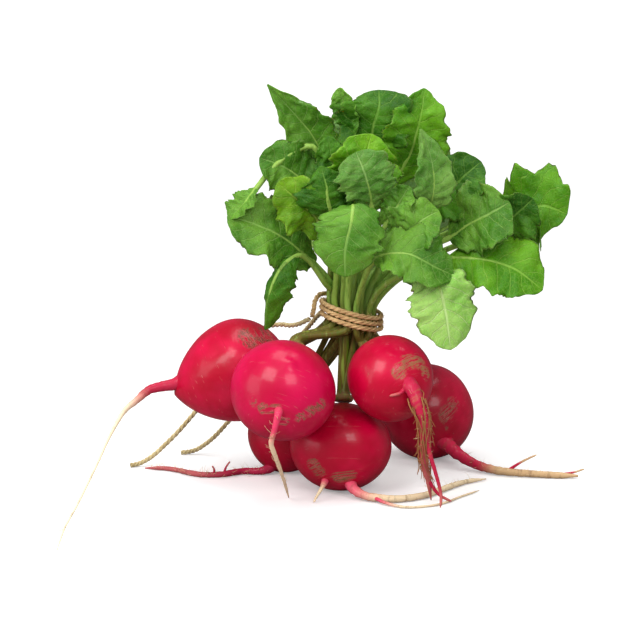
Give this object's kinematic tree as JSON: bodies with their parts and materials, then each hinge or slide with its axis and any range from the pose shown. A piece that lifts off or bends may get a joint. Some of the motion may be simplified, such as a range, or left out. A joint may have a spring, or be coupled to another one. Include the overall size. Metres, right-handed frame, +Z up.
{
  "type": "bunch of radishes",
  "caption": "Bunch of red radishes with their taproots and leafy tops, tied round the stalks with jute twine and standing on the bulbs.",
  "frame": {"origin": "middle of the bunch's footprint on the surface that it stands on, measured without the loose ends of the twine", "axes": "+Z up, +X to the right of the side that the picture shows, +Y away from the viewer on that side"},
  "size_m": [0.1966, 0.149, 0.1554],
  "materials": {
    "skin_bright": "gloss",
    "skin_deep": "gloss",
    "skin_dark": "gloss",
    "leaf": "satin",
    "jute": "matte",
    "jute_pale": "matte"
  },
  "bodies": {
    "root": {"radish_1": "skin_deep", "radish_2": "skin_bright", "radish_3": "skin_dark", "radish_4": "skin_deep", "radish_5": "skin_bright", "radish_6": "skin_dark", "leaves_1": "leaf", "leaves_2": "leaf", "leaves_3": "leaf", "leaves_4": "leaf", "leaves_5": "leaf", "leaves_6": "leaf", "twine_band": "jute", "twine_tail_long": "jute_pale", "twine_tail_short": "jute_pale"}
  },
  "joints": []
}
